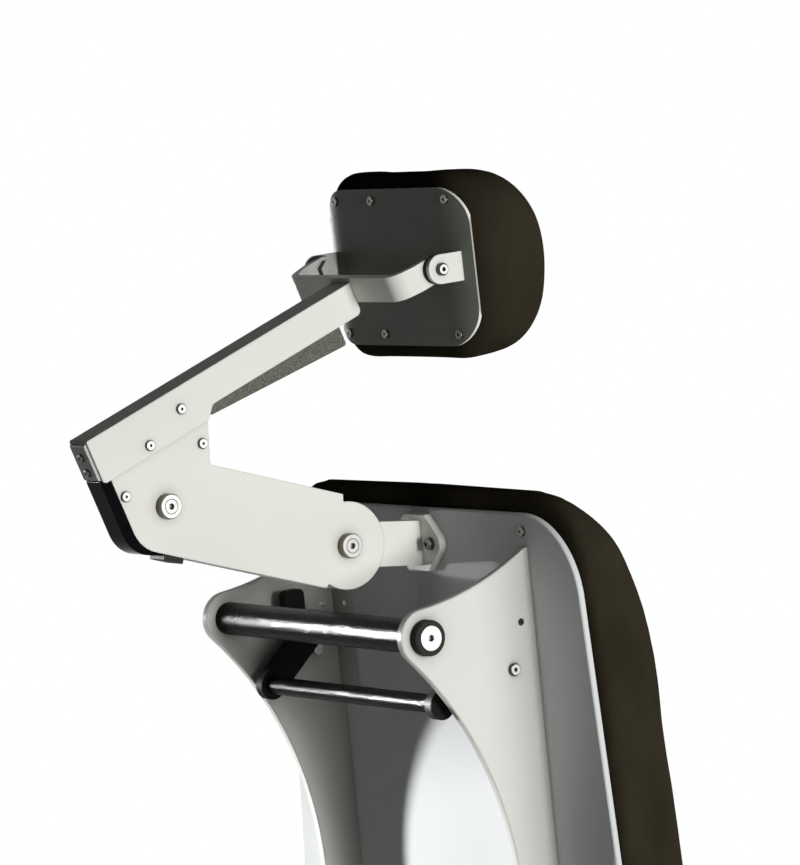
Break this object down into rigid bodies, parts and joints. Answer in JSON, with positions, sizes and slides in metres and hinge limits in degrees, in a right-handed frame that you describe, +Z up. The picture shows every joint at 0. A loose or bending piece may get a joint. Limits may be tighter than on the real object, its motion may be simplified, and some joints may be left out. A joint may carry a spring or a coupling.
{
  "type": "ophthalmic examination chair",
  "caption": "Examination chair with a reclining backrest, a hinged headrest arm, push handle and release bar, flip-up armrests, legrest and lifting column.",
  "frame": {"origin": "on the floor, on the lifting column's axis, at the underside of the base plate", "axes": "+X to the seated person's left, -Y is the way the seat faces, +Z up"},
  "size_m": [0.71, 1.2514, 1.4611],
  "materials": {
    "upholstery": "smooth dark seat vinyl, soft sheen",
    "silver_paint": "satin silver-grey powder paint",
    "plate_paint": "satin light grey paint",
    "dark_paint": "satin dark grey paint",
    "black_powder": "black crinkle powder coat",
    "black_plastic": "matte black, fine texture",
    "gloss_black": "glossy black",
    "black_rubber": "matte",
    "steel": "bright turned steel",
    "dark_steel": "dark phosphated steel",
    "aluminium": "turned or rolled aluminium",
    "chrome": "polished ram"
  },
  "bodies": {
    "base": {"base_plate": "dark_paint", "base_cover": "silver_paint", "column_tube": "silver_paint", "column_bush": "black_plastic", "column_bolts": "steel", "pedal_pin": "steel"},
    "pedal": {"pedal_lever": "black_powder"},
    "seat": {"seat_frame": "plate_paint", "seat_pan": "plate_paint", "seat_cushion": "upholstery", "column_ram": "chrome", "recline_pins": "steel", "armrest_post_left": "silver_paint", "armrest_post_right": "silver_paint", "armrest_pivot_bolts": "steel", "legrest_pins": "steel"},
    "armrest_left": {"armrest_beam_left": "silver_paint", "armrest_pad_left": "upholstery"},
    "armrest_right": {"armrest_beam_right": "silver_paint", "armrest_pad_right": "upholstery"},
    "legrest": {"legrest_frame": "plate_paint", "legrest_cushion": "upholstery", "foot_plate": "aluminium"},
    "backrest": {"back_plate": "plate_paint", "back_cushion": "upholstery", "side_panel_left": "silver_paint", "side_panel_right": "silver_paint", "push_handle": "black_powder", "handle_end_rings": "black_plastic", "handle_end_hubs": "aluminium", "panel_screws": "steel", "plate_screws": "steel", "mount_bar": "silver_paint", "mount_flange": "silver_paint", "flange_bolts": "steel", "release_pins": "dark_steel"},
    "release_handle": {"release_bar": "black_powder", "release_arm_left": "black_plastic", "release_arm_right": "black_plastic"},
    "headrest_link": {"link_channel": "silver_paint", "elbow_cover": "gloss_black", "pivot_pins": "steel", "pivot_discs": "steel", "lobe_screws": "steel", "lobe_spacer": "dark_steel", "link_stop": "black_rubber"},
    "headrest_arm": {"arm_channel": "silver_paint", "arm_end_cap": "silver_paint", "end_cap_screws": "dark_steel", "arm_lug": "dark_steel", "arm_screws": "steel", "yoke": "silver_paint", "friction_discs": "black_rubber", "ear_bolts": "steel"},
    "arm_lever": {"arm_release_lever": "black_plastic"},
    "headrest": {"headrest_plate": "dark_paint", "headrest_cushion": "upholstery", "headrest_screws": "steel", "headrest_ear_left": "silver_paint", "headrest_ear_right": "silver_paint"}
  },
  "joints": [
    {"name": "column_lift", "type": "slide", "parent": "base", "child": "seat", "axis": [0, 0, 1], "range_m": [0, 0.18]},
    {"name": "back_recline", "type": "hinge", "parent": "seat", "child": "backrest", "pos_m": [0, 0.33563, 0.47232], "axis": [1, 0, 0], "range_deg": [-70, 0]},
    {"name": "headrest_link_swing", "type": "hinge", "parent": "backrest", "child": "headrest_link", "pos_m": [0, 0.44752, 1.07978], "axis": [1, 0, 0], "range_deg": [-25, 20]},
    {"name": "headrest_arm_fold", "type": "hinge", "parent": "headrest_link", "child": "headrest_arm", "pos_m": [0, 0.65602, 1.12334], "axis": [1, 0, 0], "range_deg": [0, 10]},
    {"name": "headrest_tilt", "type": "hinge", "parent": "headrest_arm", "child": "headrest", "pos_m": [0, 0.40385, 1.34862], "axis": [1, 0, 0], "range_deg": [-30, 25]},
    {"name": "arm_lever_pull", "type": "hinge", "parent": "headrest_arm", "child": "arm_lever", "pos_m": [0, 0.64228, 1.21567], "axis": [1, 0, 0], "range_deg": [-4.5, 0], "stiffness_Nm_per_rad": 2, "springref_deg": 8.59},
    {"name": "release_bar_pull", "type": "hinge", "parent": "backrest", "child": "release_handle", "pos_m": [0, 0.39095, 0.97935], "axis": [1, 0, 0], "range_deg": [0, 15], "stiffness_Nm_per_rad": 3, "springref_deg": -14.32},
    {"name": "legrest_swing", "type": "hinge", "parent": "seat", "child": "legrest", "pos_m": [0, -0.29, 0.387], "axis": [1, 0, 0], "range_deg": [-75, 0]},
    {"name": "armrest_left_flip", "type": "hinge", "parent": "seat", "child": "armrest_left", "pos_m": [0, 0.16, 0.656], "axis": [1, 0, 0], "range_deg": [-90, 0]},
    {"name": "armrest_right_flip", "type": "hinge", "parent": "seat", "child": "armrest_right", "pos_m": [0, 0.16, 0.656], "axis": [1, 0, 0], "range_deg": [-90, 0]},
    {"name": "pedal_press", "type": "hinge", "parent": "base", "child": "pedal", "pos_m": [0, 0.29, 0.062], "axis": [1, 0, 0], "range_deg": [-12, 0], "stiffness_Nm_per_rad": 8, "springref_deg": 17.19}
  ]
}
